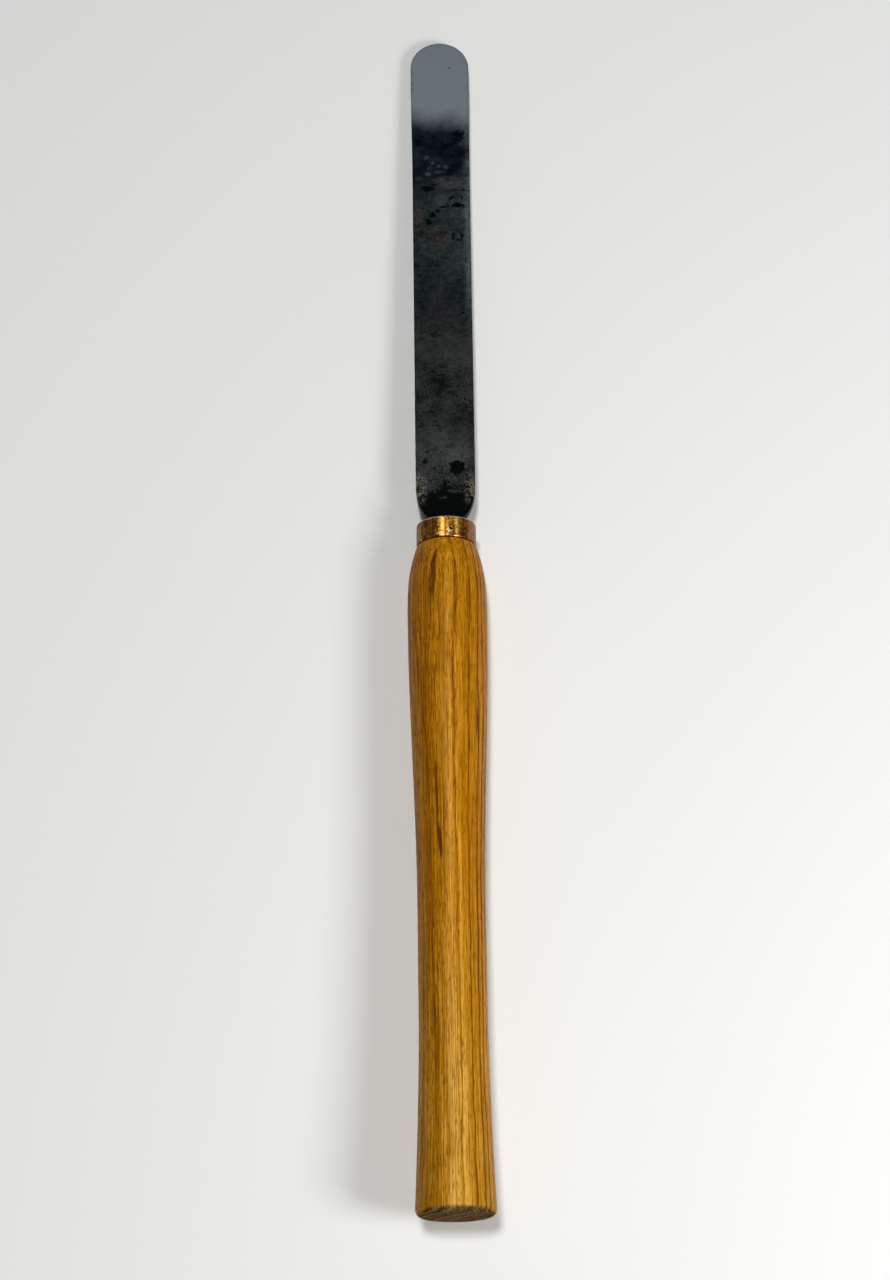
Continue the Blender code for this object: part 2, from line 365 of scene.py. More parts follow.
def pith_distance(from_right, from_up):
    """Distance from the pith of a place right of and above the handle's axis."""
    return (from_right - PITH_RIGHT).length_with(from_up + PITH_BELOW)


rings = pith_distance(grain_right, grain_up) + wander.swing(RING_WANDER) + ripple.swing(RING_RIPPLE)
spring_wood = 0
for ring_start in RING_STARTS:
    into_ring = rings - ring_start
    pore_line = into_ring.rise(*PORE_LINE_RISE) * into_ring.fall(*PORE_LINE_FALL)
    spring_wood = pore_line.larger(spring_wood)
pale_rings = rings.rise(*PALE_RINGS_RISE) * rings.fall(*PALE_RINGS_FALL)
porous = spring_wood.larger(rings.rise(*FLAT_RINGS) * 0.7)
pores = open_pores * (0.6 + porous * 0.4)

waist_loss = station.rise(*WAIST_STATIONS) * WAIST_GAIN_LOSS
front_loss = station.rise(*FRONT_STATIONS) * FRONT_GAIN_LOSS
shaded_loss = station.rise(*SHADED_STATIONS) * rings.fall(*SHADED_RINGS) * SHADED_LOSS
dark_rings_loss = DARK_RINGS_LOSS + station.rise(*DARK_RINGS_STATIONS) * DARK_RINGS_FRONT_LOSS
lined = rings.rise(*LINED_RINGS_RISE) * rings.fall(*LINED_RINGS_FALL) * station.fall(*LINED_STATIONS)
figure = mottle.swing(0.4) + streaks.swing(1.15) + fibres.swing(1)
tone = PLAIN_TONE + pale_rings * (PALE_RINGS_GAIN - waist_loss - front_loss) - shaded_loss
tone = tone - rings.rise(*DARK_RINGS) * dark_rings_loss
tone = tone - spring_wood * (SPRING_WOOD_LOSS + mottle * SPRING_WOOD_MOTTLE)
tone = tone + figure * (0.8 + rings.rise(*FIGURED_RINGS) * 0.2) + fine_lines.swing(1.3) * lined

darker = tone.rise(*DARK_TONES).blend(DARK_ASH, MIDDLE_ASH)
long_grain = tone.rise(*PALE_TONES).blend(darker, PALE_ASH)
long_grain = (pores * PORE_DEPTH).blend(long_grain, PORE_BROWN)
warmth = station.rise(*WARM_STATIONS).blend(NO_TINT, WARM_TINT)
long_grain = warmth.node("VectorMath", {"operation": "MULTIPLY"}, {0: long_grain, 1: warmth})
for streak_right, streak_middle, half_width, half_length, lean, depth in BARK_STREAKS:
    from_middle = station - streak_middle
    across_streak = (grain_right - streak_right - from_middle * lean) / half_width
    from_streak = across_streak.length_with(from_middle / half_length) + fibres.swing(BARK_RAGGEDNESS)
    bark = from_streak.fall(*BARK_EDGE) * height.rise(*BARK_HEIGHTS)
    long_grain = (bark * depth).blend(long_grain, BARK_BROWN)

end_rings = pith_distance(right, height)
end_lines = end_rings.node(
    "TexNoise", {"noise_dimensions": "1D"}, {"W": end_rings, "Scale": 0.5, "Detail": 3})
end_specks = place.noise((0.7, 0.7, 2.0), (5.1, 2.8, 0.4), detail=3)
end_tone = end_lines * END_LINES_SHARE + end_specks * (1 - END_LINES_SHARE)
end_grain = end_tone.rise(*END_TONES).blend(END_GRAIN_DARK, END_GRAIN_PALE)
# The end grain stops short at the butt's left and right edges, so the paler long grain there is a painted
# highlight along the sanded rim.
sanded_rim_highlight = right.fall(*SANDED_HIGHLIGHT_LEFT) * SANDED_HIGHLIGHT_LEFT_DEPTH + right.rise(*SANDED_HIGHLIGHT_RIGHT) * SANDED_HIGHLIGHT_RIGHT_DEPTH
on_butt = (station + sanded_rim_highlight).fall(*BUTT_EDGE)
ash_colour = (on_butt * END_GRAIN_DEPTH).blend(long_grain, end_grain)
ash_roughness = OILED_ROUGHNESS + pores * PORE_ROUGHNESS + on_butt * BUTT_ROUGHNESS
ash_relief = fibres * 0.3 - pores * 0.7 - spring_wood * 0.2
ash_bump = ash_relief.node("Bump", {}, {"Strength": ASH_BUMP, "Distance": BUMP_DEPTH, "Height": ash_relief})
plug_in(
    ash_shader, Base_Color=ash_colour, Roughness=ash_roughness, Normal=ash_bump,
    Specular_IOR_Level=OILED_SPECULAR)

outline = [(0, 0)]
arc_centre = handle_radius(BUTT_ROUND) - BUTT_ROUND
for angle in stretch(0, math.pi / 2, ROUND_STEPS):
    outline.append((arc_centre + BUTT_ROUND * math.sin(angle), BUTT_ROUND * (1 - math.cos(angle))))
for body_station in stretch(BUTT_ROUND, HANDLE_LENGTH - NECK_ROUND, HANDLE_BODY_STEPS)[1:]:
    outline.append((handle_radius(body_station), body_station))
for angle in stretch(0, math.pi / 2, ROUND_STEPS)[1:]:
    outline.append((
        NECK_RADIUS - NECK_ROUND * (1 - math.cos(angle)),
        HANDLE_LENGTH - NECK_ROUND * (1 - math.sin(angle))))
outline += [(TENON_RADIUS, HANDLE_LENGTH), (TENON_RADIUS, TENON_END)]
outline += [(PILOT_DRILL_RADIUS, depth) for depth in stretch(TENON_END, SOCKET_BACK, SOCKET_STEPS)]
outline.append((0, SOCKET_BACK))
handle_shape = turned(outline, HANDLE_TURN_STEPS)
for vertex in handle_shape.verts:
    radius = math.hypot(vertex.co.x, vertex.co.z)
    in_socket = vertex.co.y > SOCKET_BACK - MERGE_DISTANCE and radius < MOUTH_DRILL_RADIUS
    if in_socket and radius > MERGE_DISTANCE:
        angle = math.atan2(vertex.co.z, vertex.co.x)
        radius = socket_radius(angle, vertex.co.y)
        vertex.co.x = radius * math.cos(angle)
        vertex.co.z = radius * math.sin(angle)
lay_down("ash_handle", handle_shape, oiled_ash, "handle")

# The ferrule
# A short length of drawn copper tube, pressed over the tenon so that the tang can't split the wood.
# A three-sided punch stakes it to the tenon, and years of handling have worn and dulled it.
# Bands of painted highlight, sheen and reflection lie over the worn copper, and the punch mark's facets are
# painted lit and shaded.
FERRULE_RADIUS = 0.0099
FERRULE_WALL = 0.001
FERRULE_BACK = HANDLE_LENGTH + FIT_CLEARANCE
FERRULE_FRONT = FERRULE_BACK + 0.0073
FERRULE_RIM_ROUND = 0.0004
FERRULE_BORE_ROUND = 0.00015
FERRULE_TURN_STEPS = 288
FERRULE_BAND_STEPS = 36
RIM_STEPS = 4
STAKE_STATION = FERRULE_FRONT - 0.0048
STAKE_TURN = math.radians(8)
STAKE_CORNER = 0.0015
STAKE_SIDE = STAKE_CORNER / 2
STAKE_DEPTH = 0.0007
SIDE_TURN = math.pi / 3
NICK_TURN = math.radians(-5)
NICK_SIZE = 0.0006
NICK_DEPTH = 0.00025
STAKE_LIT_FACET = (1.0, 0.78, 0.42, 1)
STAKE_SHADED_FACET = (0.030, 0.012, 0.002, 1)
COPPER_DULL = (0.055, 0.020, 0.003, 1)
COPPER_RED = (0.23, 0.082, 0.007, 1)
COPPER_PINK = (0.40, 0.19, 0.095, 1)
COPPER_GOLD = (0.90, 0.56, 0.13, 1)
COPPER_WORN_HIGHLIGHT = (0.80, 0.50, 0.32, 1)
DRAW_LINES_PER_RADIAN = 9
LEFT_GLEAM = math.radians(-9)
LEFT_GLEAM_WIDTH = math.radians(9)
RIGHT_GLEAM = math.radians(20)
RIGHT_GLEAM_WIDTH = math.radians(6.5)
POLISHED_SHEEN_MIDDLE = math.radians(6)
POLISHED_SHEEN_HALF_WIDTH = math.radians(24)
POLISHED_SHEEN_CORE = POLISHED_SHEEN_HALF_WIDTH * 0.6
LEFT_FLANK = (math.radians(-68), math.radians(-54))
LEFT_FLANK_SHEEN = 0.25
RIGHT_FLANK = (math.radians(42), math.radians(52))
RIGHT_FLANK_SHEEN = 0.5
# The polish and its painted sheen go from 0 in dull copper to 1 in a painted gleam
PLAIN_POLISH = 0.2
POLISHED_SHEEN_GAIN = 0.22
GLEAM_GAIN = 0.58
RED_POLISH = (0.0, 0.45)
GOLD_POLISH_AND_GLEAM = (0.35, 1.0)
RIM_WEAR_HIGHLIGHT = (0.15, 0.7)
RIM_WEAR_HIGHLIGHT_DEPTH = 0.7
COPPER_ROUGHNESS = 0.4
GLEAM_SMOOTHNESS = 0.18
COPPER_BUMP = 0.35
BRUSHING_DEPTH = 0.00005


def stake_sink(right_of, ahead_of):
    """Depth of the three-sided punch mark, whose corner points right, at a place round its middle."""
    to_side = max(
        right_of * math.cos(turn) + ahead_of * math.sin(turn) for turn in (SIDE_TURN, math.pi, -SIDE_TURN))
    return STAKE_DEPTH * max(0, 1 - to_side / STAKE_SIDE)


worn_copper, copper_shader, place = new_finish("worn_copper")
right, station, height = place.axes()
around = right.sum("ARCTAN2", right, height)
draw_lines = around.node(
    "TexNoise", {"noise_dimensions": "1D"}, {"W": around, "Scale": DRAW_LINES_PER_RADIAN, "Detail": 3})
stains = place.noise((1.8, 1.8, 1.8), (1.3, 4.2, 0.6), detail=4, roughness=0.65)
pink = place.noise((1.5, 1.5, 1.5), (7.9, 0.8, 3.3), detail=3).rise(0.50, 0.66)
brushing = place.noise((6, 0.12, 6), (2.2, 0.3, 9.1), detail=2)
pits = place.noise((0.45, 0.6, 0.45), (8.2, 3.1, 5.4), detail=2, roughness=0.6)
ragged_turn = around + stains.swing(0.3) + pits.swing(0.4)
# The two gleams are painted highlights of the lamps, running along the ferrule, and the polished band on
# top carries a painted sheen.
left_gleam = abs(ragged_turn - LEFT_GLEAM).fall(0, LEFT_GLEAM_WIDTH)
right_gleam = abs(ragged_turn - RIGHT_GLEAM).fall(0, RIGHT_GLEAM_WIDTH)
polished_sheen = abs(around - POLISHED_SHEEN_MIDDLE).fall(POLISHED_SHEEN_CORE, POLISHED_SHEEN_HALF_WIDTH)
polish_and_sheen = PLAIN_POLISH + polished_sheen * POLISHED_SHEEN_GAIN + (left_gleam + right_gleam) * GLEAM_GAIN
polish_and_sheen = polish_and_sheen + draw_lines.swing(0.8) + stains.swing(1.4) + pits.swing(0.6 + polished_sheen)
red_or_pink = (pink * (1 - polished_sheen)).blend(COPPER_RED, COPPER_PINK)
copper_colour = polish_and_sheen.rise(*RED_POLISH).blend(COPPER_DULL, red_or_pink)
copper_colour = polish_and_sheen.rise(*GOLD_POLISH_AND_GLEAM).blend(copper_colour, COPPER_GOLD)
# Painted pink reflections lie on both flanks, stronger on the right.
flank_sheen = around.fall(*LEFT_FLANK) * LEFT_FLANK_SHEEN + around.rise(*RIGHT_FLANK) * RIGHT_FLANK_SHEEN
copper_colour = flank_sheen.blend(copper_colour, COPPER_PINK)
# The front rim is worn, with a painted highlight along it.
to_rim = FERRULE_FRONT * MILLIMETRES - station
worn_rim_highlight = to_rim.fall(*RIM_WEAR_HIGHLIGHT) * (0.4 + stains)
copper_colour = (worn_rim_highlight * RIM_WEAR_HIGHLIGHT_DEPTH).blend(copper_colour, COPPER_WORN_HIGHLIGHT)

# The punch mark's facets are painted lit and shaded: lit on the left and behind, shaded on the facet ahead,
# and the lit ones less metallic.
stake_right = (around - STAKE_TURN) * (FERRULE_RADIUS * MILLIMETRES)
stake_ahead = station - STAKE_STATION * MILLIMETRES
front_side = stake_right * math.cos(SIDE_TURN) + stake_ahead * math.sin(SIDE_TURN)
back_side = stake_right * math.cos(SIDE_TURN) - stake_ahead * math.sin(SIDE_TURN)
lit_sides = back_side.larger(0 - stake_right)
stake_side = STAKE_SIDE * MILLIMETRES
in_stake = front_side.larger(lit_sides).fall(stake_side * 0.9, stake_side * 1.1)
lit = (lit_sides - front_side).rise(0.1, 0.35)
copper_colour = in_stake.blend(copper_colour, lit.blend(STAKE_SHADED_FACET, STAKE_LIT_FACET))
copper_bump = brushing.node(
    "Bump", {}, {"Strength": COPPER_BUMP, "Distance": BRUSHING_DEPTH, "Height": brushing})
plug_in(
    copper_shader, Base_Color=copper_colour, Metallic=1 - in_stake * lit * 0.8,
    Roughness=COPPER_ROUGHNESS - right_gleam * GLEAM_SMOOTHNESS, Normal=copper_bump)

outline = []
for angle in stretch(0, math.pi / 2, RIM_STEPS):
    outline.append((
        FERRULE_RADIUS - FERRULE_RIM_ROUND * (1 - math.sin(angle)),
        FERRULE_BACK + FERRULE_RIM_ROUND * (1 - math.cos(angle))))
band = stretch(FERRULE_BACK + FERRULE_RIM_ROUND, FERRULE_FRONT - FERRULE_RIM_ROUND, FERRULE_BAND_STEPS)
outline += [(FERRULE_RADIUS, band_station) for band_station in band[1:-1]]
for angle in stretch(math.pi / 2, 0, RIM_STEPS):
    outline.append((
        FERRULE_RADIUS - FERRULE_RIM_ROUND * (1 - math.sin(angle)),
        FERRULE_FRONT - FERRULE_RIM_ROUND * (1 - math.cos(angle))))
bore_radius = FERRULE_RADIUS - FERRULE_WALL
outline += [
    (bore_radius + FERRULE_BORE_ROUND, FERRULE_FRONT),
    (bore_radius, FERRULE_FRONT - FERRULE_BORE_ROUND),
    (bore_radius, FERRULE_BACK + FERRULE_BORE_ROUND),
    (bore_radius + FERRULE_BORE_ROUND, FERRULE_BACK)]
ferrule_shape = turned(outline, FERRULE_TURN_STEPS, closed=True)
for vertex in ferrule_shape.verts:
    radius = math.hypot(vertex.co.x, vertex.co.z)
    turn = math.atan2(vertex.co.x, vertex.co.z)
    if radius < bore_radius + FERRULE_WALL / 2:
        continue
    sink = stake_sink((turn - STAKE_TURN) * FERRULE_RADIUS, vertex.co.y - STAKE_STATION)
    nick_place = Vector(((turn - NICK_TURN) * FERRULE_RADIUS, vertex.co.y - FERRULE_FRONT))
    sink += NICK_DEPTH * max(0, 1 - nick_place.length / NICK_SIZE)
    vertex.co.x -= sink * math.sin(turn)
    vertex.co.z -= sink * math.cos(turn)
lay_down("copper_ferrule", ferrule_shape, worn_copper, "ferrule")

# The blade
# A flat bar of tool steel under black forge scale, worn along its right edge, with a painted sheen there
# for the light on that edge. Its round nose is ground to a grey satin on top and along the undercut below,
# and its rounded shoulders run down to a tapered tang, which is driven into the handle.
NOSE_RADIUS = 0.01025
NOSE_CENTRE = FERRULE_FRONT + 0.185 - NOSE_RADIUS
SHANK_HALF_WIDTH = 0.00995
NOSE_FLARE_LENGTH = 0.048
UNDERCUT = BLADE_THICKNESS * math.tan(math.radians(15))
UNDERCUT_RUNOUT = 0.012
SHOULDER_LENGTH = 0.0122
SHOULDER_START = TANG_ROOT + SHOULDER_LENGTH
EASED_EDGE = 0.0005
EDGE_STEPS = 3
FACE_MARGIN = 0.0003
NOSE_STEPS = 40
FLARE_STEPS = 24
SHOULDER_STEPS = 24
LEVEL_NORMAL = 0.99
GROUND_STEEL = (0.138, 0.161, 0.178, 1)
GROUND_RIM = (0.092, 0.103, 0.103, 1)
SCALE_NAVY = (0.0040, 0.0068, 0.0098, 1)
SCALE_GREEN = (0.0125, 0.0185, 0.0180, 1)
SCALE_DARK_GREEN = (0.0080, 0.0130, 0.0125, 1)
SCALE_BROWN = (0.0295, 0.0270, 0.0285, 1)
SCALE_PURPLE = (0.0105, 0.0098, 0.0118, 1)
SCALE_GREY = (0.0185, 0.0198, 0.0194, 1)
SCALE_PALE_GREY = (0.0270, 0.0285, 0.0278, 1)
SCALE_BLACK = (0.0020, 0.0026, 0.0026, 1)
SCALE_TAN = (0.115, 0.098, 0.074, 1)
BARE_GREY = (0.028, 0.031, 0.032, 1)
WORN_EDGE_SHEEN_GREY = (0.041, 0.047, 0.053, 1)
# Where the scale's colours start and stop, from the butt or to the right, and how strong they are
NAVY_STATIONS = (351, 361)
NAVY_LEAN = 0.5
NAVY_WANDER = 20
GREEN_STATIONS = (312, 330)
GREY_STATIONS = (290, 312)
PALE_GREY_STATIONS = (252, 268)
WORN_EDGE_SHEEN_RIGHT = (6.8, 9.6)
WORN_EDGE_SHEEN_STATIONS = (292, 322)
SIDE_CONTRAST = 0.3
NAVY_SIDE_CONTRAST = 1.2
CONTRAST_RIGHT = (-8, 6)
CONTRAST_STATIONS = (316, 328)
DARKER_BACK = 0.3
DARKER_BACK_STATIONS = (247, 254)
MOTTLED_BACK = (254, 264)
MOTTLED_FRONT = (284, 300)
SPECKED_STATIONS = (248, 262)
BLACK_SHOULDER_STATIONS = (242.2, 243.6)
TAN_SIDES = (5.5, 8.2)
TAN_BACK = (234, 238)
TAN_FRONT = (242, 248)
GROUND_STATIONS = (376.5, 387.5)
CHIPPED_LEFT = (-9.4, -8.9)
CHIPPED_BACK = (391, 394)
CHIPPED_FRONT = (398, 402)
# Each mark: right of the middle, from the butt, reach to the sides, reach along
PALE_MARKS = [
    (7.2, 371.8, 1.1, 0.8),
    (-5.1, 366.5, 0.9, 0.8),
    (-3.0, 364.4, 0.7, 0.7),
    (-0.8, 362.9, 0.8, 0.6),
    (1.7, 362.6, 1.0, 0.9),
    (-4.0, 362.7, 0.8, 0.8),
    (-0.3, 360.7, 2.2, 0.7),
    (-4.7, 359.9, 1.1, 0.8),
    (-7.5, 358.2, 1.4, 0.7),
    (2.6, 356.6, 6.0, 2.8),
    (-0.1, 350.2, 2.4, 2.0),
    (4.1, 349.5, 0.9, 0.7),
    (6.2, 349.4, 0.7, 0.7),
    (3.2, 347.4, 0.6, 0.6),
]
BLACK_MARKS = [
    (6.4, 376.0, 2.4, 1.8),
    (-4.8, 354.2, 2.4, 1.2),
    (-2.4, 355.8, 1.3, 0.5),
    (5.9, 353.6, 2.6, 0.4),
    (3.6, 350.4, 0.9, 0.6),
    (7.3, 350.6, 0.7, 0.6),
    (5.3, 347.6, 2.3, 0.9),
    (0.1, 347.0, 1.4, 0.6),
    (-1.4, 345.4, 1.0, 0.6),
    (-3.1, 343.8, 1.1, 1.3),
    (-4.7, 341.0, 1.3, 1.1),
    (-8.3, 320.8, 0.8, 0.6),
    (5.7, 318.6, 0.9, 0.5),
    (6.8, 306.0, 0.5, 0.5),
    (-6.4, 254.0, 0.6, 0.5),
    (-1.1, 253.9, 0.6, 0.4),
    (-7.0, 250.5, 0.9, 0.7),
    (4.0, 248.3, 2.6, 2.5),
]
SHOULDER_FLECKS = [
    (2.5, 239.6, 1.9, 0.45),
    (-0.6, 237.2, 1.1, 0.5),
    (7.1, 236.3, 0.8, 0.7),
]
BROWN_PATCHES = [
    (-1.0, 335.0, 4.2, 5.0),
    (-8.2, 343.0, 2.2, 6.0),
]
PURPLE_PATCH = (-1.0, 308, 7.0, 9.0)
CRACK_RING = (5.4, 335.5, 1.7, 1.7)
NOSE_SPECK = (3.4, 402.6, 0.45, 0.45)
MARK_EDGE = (-0.3, 0.2)
PATCH_EDGE = (0.3, 1.3)
PALE_MARK_DEPTH = 0.8
FLECK_DEPTH = 0.6
TAN_DEPTH = 0.9
PURPLE_DEPTH = 0.8
STEEL_ROUGHNESS = 0.42
BLACK_MARK_ROUGHNESS = 0.15
GROUND_ROUGHNESS = 0.06
STEEL_BUMP = 0.3

black_steel, steel_shader, place = new_finish("black_scale_steel")
right, station, height = place.axes()
nose_station = NOSE_CENTRE * MILLIMETRES
flare_station = (NOSE_CENTRE - NOSE_FLARE_LENGTH) * MILLIMETRES
flare = station.rise(flare_station, nose_station) * ((NOSE_RADIUS - SHANK_HALF_WIDTH) * MILLIMETRES)
from_middle = right.length_with((station - nose_station).larger(0))
from_edge = SHANK_HALF_WIDTH * MILLIMETRES + flare - from_middle
smoke = place.noise((5, 5, 5), (0.5, 7.1, 3.0), detail=4)
wisps = place.noise((6, 12, 6), (4.6, 0.2, 8.1), detail=3)
cloud = place.noise((8, 12, 8), (5.5, 1.4, 2.6), detail=3)
tint = place.noise((5, 7, 5), (2.1, 8.8, 4.4), detail=3).rise(0.46, 0.68)
flakes = place.noise((2.4, 1.7, 2.4), (3.7, 9.6, 1.9), detail=6, roughness=0.7)
grit = place.noise((0.8, 0.8, 0.8), (6.6, 0.9, 5.7), detail=3, roughness=0.7)
grains = place.noise((0.42, 0.42, 0.42), (2.9, 6.4, 0.7), detail=2, roughness=0.6)
scratches = place.noise((0.08, 3, 0.08), (1.7, 5.2, 0.2), detail=2)
ragged = flakes.swing(4.5) + grit.swing(2)


def mark_distance(mark):
    """Distance along the top face from the middle of a mark, counted in its reaches."""
    mark_right, mark_station, reach_right, reach_along = mark
    return ((right - mark_right) / reach_right).length_with((station - mark_station) / reach_along)


def ragged_marks(marks, raggedness):
    """1 on each of some ragged marks and 0 off them."""
    found = 0
    for mark in marks:
        reach = min(mark[2:])
        past_edge = (mark_distance(mark) - 1) * reach + ragged * (raggedness * reach ** 0.5)
        found = past_edge.fall(*MARK_EDGE).larger(found)
    return found


brown = tint * 0.4
for patch in BROWN_PATCHES:
    from_patch = mark_distance(patch) + cloud.swing(2) + ragged * 0.25
    brown = from_patch.fall(*PATCH_EDGE).larger(brown)
green_or_brown = brown.blend(SCALE_GREEN, SCALE_BROWN)
scale_colour = station.rise(*GREEN_STATIONS).blend(SCALE_DARK_GREEN, green_or_brown)
scale_colour = station.fall(*GREY_STATIONS).blend(scale_colour, SCALE_GREY)
scale_colour = station.fall(*PALE_GREY_STATIONS).blend(scale_colour, SCALE_PALE_GREY)
purple = mark_distance(PURPLE_PATCH).fall(*PATCH_EDGE) * PURPLE_DEPTH
scale_colour = purple.blend(scale_colour, SCALE_PURPLE)
navy = (station - right * NAVY_LEAN + cloud.swing(NAVY_WANDER)).rise(*NAVY_STATIONS)
scale_colour = navy.blend(scale_colour, SCALE_NAVY)
# A painted sheen along the worn right edge stands in for the light that the edge catches.
worn_edge_sheen = (right + cloud.swing(1.2)).rise(*WORN_EDGE_SHEEN_RIGHT) * station.rise(*WORN_EDGE_SHEEN_STATIONS)
scale_colour = worn_edge_sheen.blend(scale_colour, WORN_EDGE_SHEEN_GREY)
pale_marks = ragged_marks(PALE_MARKS, 0.8) * PALE_MARK_DEPTH
scale_colour = pale_marks.blend(scale_colour, BARE_GREY)

mottling = flakes.swing(3) + grit.swing(2) + cloud.swing(1.8) + smoke.swing(4) * navy
side_contrast = (SIDE_CONTRAST - navy * NAVY_SIDE_CONTRAST) * station.rise(*CONTRAST_STATIONS)
lighter_right = right.rise(*CONTRAST_RIGHT).swing(1) * side_contrast
darker_back = station.fall(*DARKER_BACK_STATIONS) * DARKER_BACK
brightness = (1 + mottling + lighter_right - darker_back).larger(0.2)
scale_colour = scale_colour.node(
    "VectorMath", {"operation": "SCALE"}, {0: scale_colour, "Scale": brightness})

from_crack = mark_distance(CRACK_RING)
crack = abs(from_crack - 0.9) + ragged * 0.3 + grains.swing(2.4)
crack = crack.fall(0.1, 0.45) * from_crack.fall(1.4, 1.8)
mottles = (flakes + grit.swing(0.7) + grains.swing(0.5) + smoke.swing(0.55)).rise(0.53, 0.60)
mottles = mottles * station.rise(*MOTTLED_BACK) * station.fall(*MOTTLED_FRONT) * 0.85
shoulder_line = station + abs(right) * 0.5 + flakes.swing(18) + smoke.swing(22)
shoulder_line = shoulder_line + grit.swing(7) + grains.swing(20)
black_shoulders = shoulder_line.fall(*BLACK_SHOULDER_STATIONS)
specks = (grains * 0.6 + grit * 0.4 + flakes.swing(0.7)).rise(0.57, 0.61)
specks = specks * station.fall(*SPECKED_STATIONS)
black_marks = ragged_marks(BLACK_MARKS, 0.6).larger(crack).larger(mottles)
black_marks = black_marks.larger(black_shoulders).larger(specks)
scale_colour = black_marks.blend(scale_colour, SCALE_BLACK)
at_shoulders = abs(right).rise(*TAN_SIDES) * station.rise(*TAN_BACK) * station.fall(*TAN_FRONT)
tan_flakes = (flakes * 0.4 + grit * 0.6).rise(0.48, 0.56) * at_shoulders
scale_colour = (tan_flakes * TAN_DEPTH).blend(scale_colour, SCALE_TAN)
shoulder_flecks = ragged_marks(SHOULDER_FLECKS, 0.9) * FLECK_DEPTH
scale_colour = shoulder_flecks.blend(scale_colour, BARE_GREY)

ground_line = station + smoke.swing(3) + wisps.swing(5) + right * 0.12
ground = ground_line.rise(*GROUND_STATIONS) ** 0.7
on_top = height.rise(1.6, 1.95)
chipped = right.fall(*CHIPPED_LEFT) * station.rise(*CHIPPED_BACK) * station.fall(*CHIPPED_FRONT)
nose_speck = mark_distance(NOSE_SPECK).fall(0.6, 1.4) * 0.5
unground = (chipped * flakes.rise(0.50, 0.58)).larger(nose_speck)
ground_top = ground * on_top * (1 - unground)
rim_wear = from_edge.fall(0.2, 1.3) * (0.5 + smoke)
ground_colour = (rim_wear * 0.4).blend(GROUND_STEEL, GROUND_RIM)
undercut = UNDERCUT * MILLIMETRES
on_nose = station.rise(nose_station - 8, nose_station - 4)
ground_bevel = from_edge.fall(undercut - 0.1, undercut) * (1 - on_top) * on_nose
bright = ground_top.larger(ground_bevel)
steel_colour = bright.blend(scale_colour, ground_colour)
black_roughness = black_marks * (1 - bright) * BLACK_MARK_ROUGHNESS
steel_roughness = STEEL_ROUGHNESS + black_roughness + bright * GROUND_ROUGHNESS
scale_relief = smoke * 0.6 + grit * 0.2 - black_marks * 0.4
relief = (1 - bright) * scale_relief + bright * scratches * 0.15
steel_bump = relief.node("Bump", {}, {"Strength": STEEL_BUMP, "Distance": BUMP_DEPTH, "Height": relief})
plug_in(steel_shader, Base_Color=steel_colour, Metallic=1.0, Roughness=steel_roughness, Normal=steel_bump)

half_outline = []
for angle in stretch(0, math.pi / 2, NOSE_STEPS):
    half_outline.append((NOSE_RADIUS * math.sin(angle), NOSE_CENTRE + NOSE_RADIUS * math.cos(angle)))
for share in stretch(0, 1, FLARE_STEPS)[1:]:
    narrowing = (NOSE_RADIUS - SHANK_HALF_WIDTH) * (1 - math.cos(math.pi * share)) / 2
    half_outline.append((NOSE_RADIUS - narrowing, NOSE_CENTRE - NOSE_FLARE_LENGTH * share))
for angle in stretch(0, math.pi / 2, SHOULDER_STEPS):
    half_outline.append((
        TANG_HALF_WIDTH + (SHANK_HALF_WIDTH - TANG_HALF_WIDTH) * math.cos(angle),
        SHOULDER_START - SHOULDER_LENGTH * math.sin(angle)))
half_outline.append((TANG_TIP_HALF_WIDTH, TANG_TIP))
outline = half_outline + [(-width, level) for width, level in reversed(half_outline) if width > 0]

blade_shape = bmesh.new()
underside = blade_shape.faces.new(
    [blade_shape.verts.new((width, level, -BLADE_THICKNESS / 2)) for width, level in outline])
top = bmesh.ops.extrude_face_region(blade_shape, geom=[underside], use_keep_orig=True)
top_corners = [item for item in top["geom"] if isinstance(item, bmesh.types.BMVert)]
bmesh.ops.translate(blade_shape, vec=(0, 0, BLADE_THICKNESS), verts=top_corners)
bmesh.ops.recalc_face_normals(blade_shape, faces=blade_shape.faces)
for vertex in blade_shape.verts:
    behind_nose = max(0, NOSE_CENTRE - vertex.co.y)
    if vertex.co.z < 0 and behind_nose < UNDERCUT_RUNOUT:
        shrink = 1 - (1 - behind_nose / UNDERCUT_RUNOUT) * UNDERCUT / NOSE_RADIUS
        vertex.co.x *= shrink
        if vertex.co.y > NOSE_CENTRE:
            vertex.co.y = NOSE_CENTRE + (vertex.co.y - NOSE_CENTRE) * shrink
bar_edges = [
    edge for edge in blade_shape.edges
    if abs(edge.verts[0].co.z - edge.verts[1].co.z) < MERGE_DISTANCE
    and max(edge.verts[0].co.y, edge.verts[1].co.y) < NOSE_CENTRE - UNDERCUT_RUNOUT]
bmesh.ops.bevel(
    blade_shape, geom=bar_edges, offset=EASED_EDGE, offset_type="OFFSET", segments=EDGE_STEPS, profile=0.5,
    affect="EDGES", material=-1, clamp_overlap=True)
flat_faces = [
    face for face in blade_shape.faces
    if len(face.verts) > 4 and abs(face.normal.z) > LEVEL_NORMAL]
bmesh.ops.inset_individual(blade_shape, faces=flat_faces, thickness=FACE_MARGIN, use_even_offset=True)
lay_down("steel_blade", blade_shape, black_steel, "blade")

